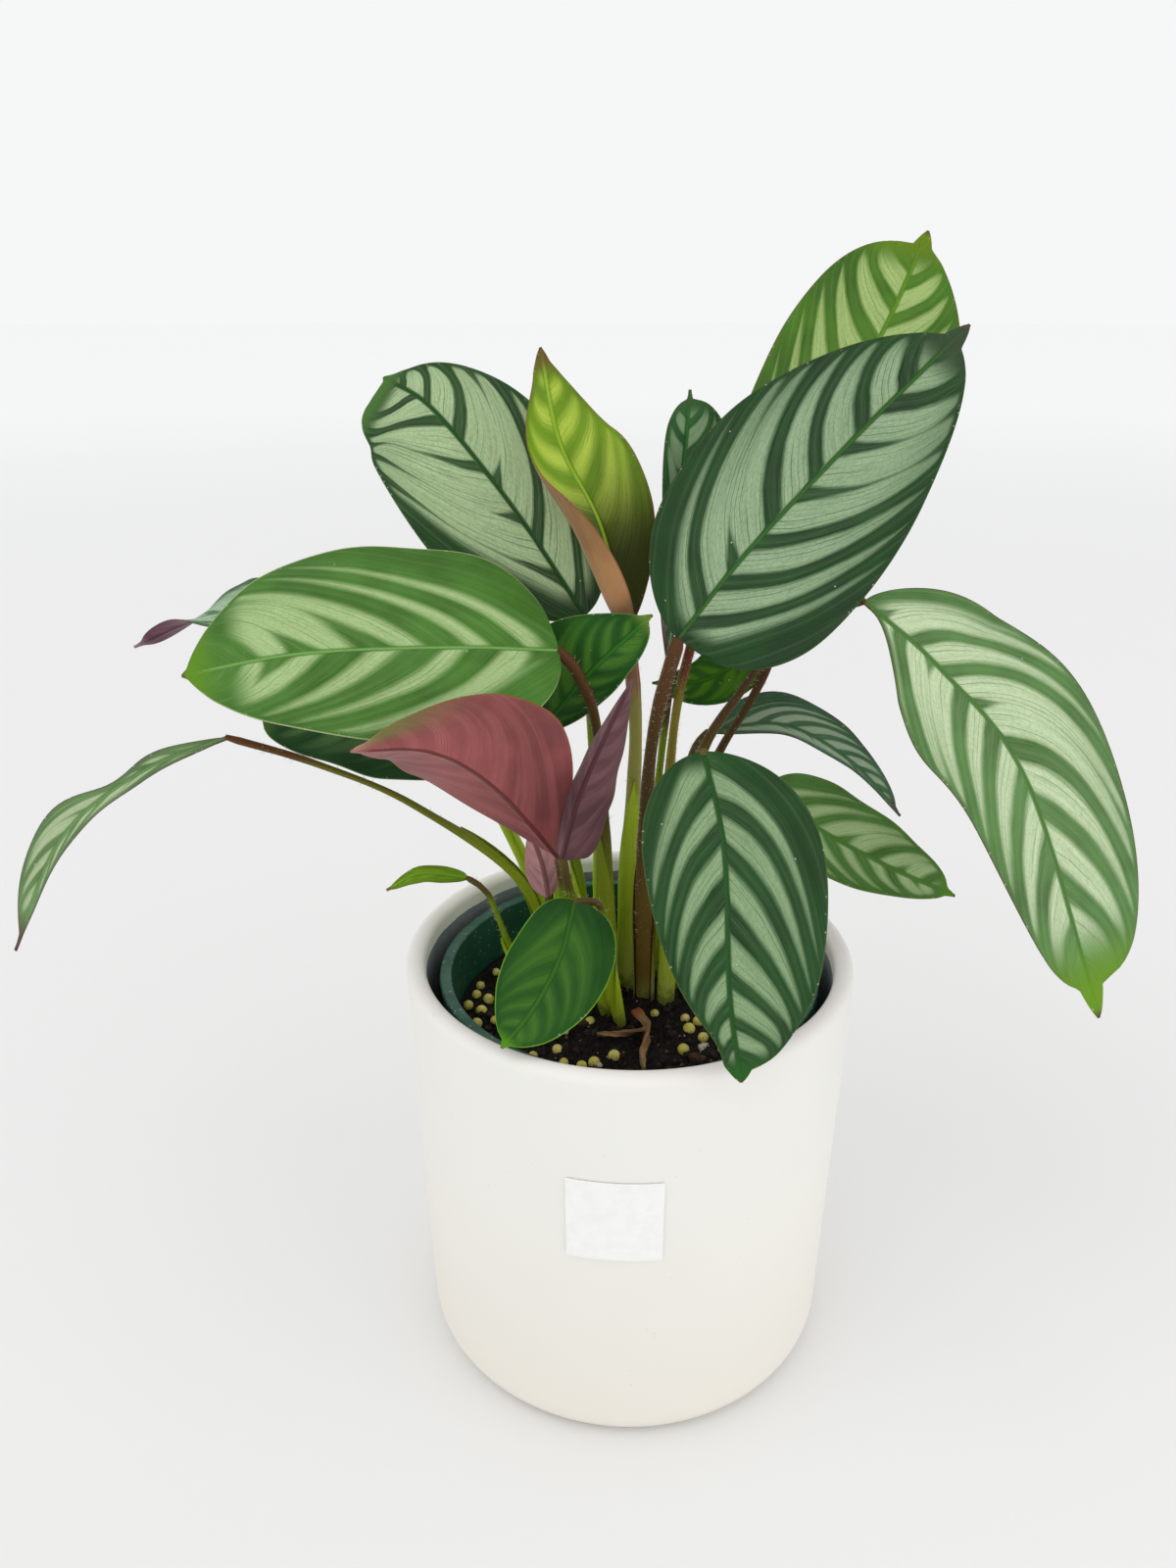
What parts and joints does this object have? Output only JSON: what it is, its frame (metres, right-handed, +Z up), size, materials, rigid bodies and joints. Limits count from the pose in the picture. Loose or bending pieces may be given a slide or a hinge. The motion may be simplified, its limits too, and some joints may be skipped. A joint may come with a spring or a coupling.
{
  "type": "potted prayer plant",
  "caption": "Striped-leaf prayer plant with purple undersides, growing in a green nursery pot inside a plain white ceramic cover pot.",
  "frame": {"origin": "centre of the cover pot's flat underside, on the surface that it stands on", "axes": "+Z up, the front of the pot with the blank label towards -Y, +X to the right seen from the front"},
  "size_m": [0.3381, 0.1666, 0.3743],
  "materials": {
    "cover_pot": "matte white glaze",
    "nursery_pot": "satin",
    "soil": "rough, damp",
    "label": "matte",
    "dried_leaf": "matte",
    "leaf_dark": "soft satin",
    "leaf_mid": "soft satin",
    "leaf_lime": "soft satin",
    "leaf_purple": "soft satin",
    "stalk_green": "satin",
    "stalk_brown": "satin, hairy"
  },
  "bodies": {
    "root": {"cover_pot": "cover_pot", "nursery_pot": "nursery_pot", "soil": "soil", "label": "label", "dried_strip": "dried_leaf", "stalk_back_top": "stalk_brown", "blade_back_top": "leaf_lime", "stalk_big_right": "stalk_brown", "blade_big_right": "leaf_dark", "stalk_drooping_right": "stalk_green", "blade_drooping_right": "leaf_mid", "stalk_behind_centre": "stalk_green", "blade_behind_centre": "leaf_dark", "stalk_rolled_young": "stalk_brown", "blade_rolled_young": "leaf_lime", "stalk_upper_left": "stalk_brown", "blade_upper_left": "leaf_dark", "stalk_broad_left": "stalk_brown", "blade_broad_left": "leaf_mid", "stalk_under_left": "stalk_brown", "blade_under_left": "leaf_dark", "stalk_maroon_left": "stalk_brown", "blade_maroon_left": "leaf_purple", "stalk_small_centre": "stalk_green", "blade_small_centre": "leaf_dark", "stalk_mauve_centre": "stalk_green", "blade_mauve_centre": "leaf_purple", "stalk_pink_small": "stalk_green", "blade_pink_small": "leaf_purple", "stalk_far_left": "stalk_green", "blade_far_left": "leaf_mid", "stalk_curled_far_left": "stalk_green", "blade_curled_far_left": "leaf_mid", "stalk_tiny_lime": "stalk_green", "blade_tiny_lime": "leaf_lime", "stalk_oval_front": "stalk_green", "blade_oval_front": "leaf_mid", "stalk_broad_front": "stalk_brown", "blade_broad_front": "leaf_dark", "stalk_lower_right": "stalk_green", "blade_lower_right": "leaf_mid", "stalk_narrow_right": "stalk_green", "blade_narrow_right": "leaf_dark", "stalk_behind_right": "stalk_brown", "blade_behind_right": "leaf_mid"}
  },
  "joints": []
}
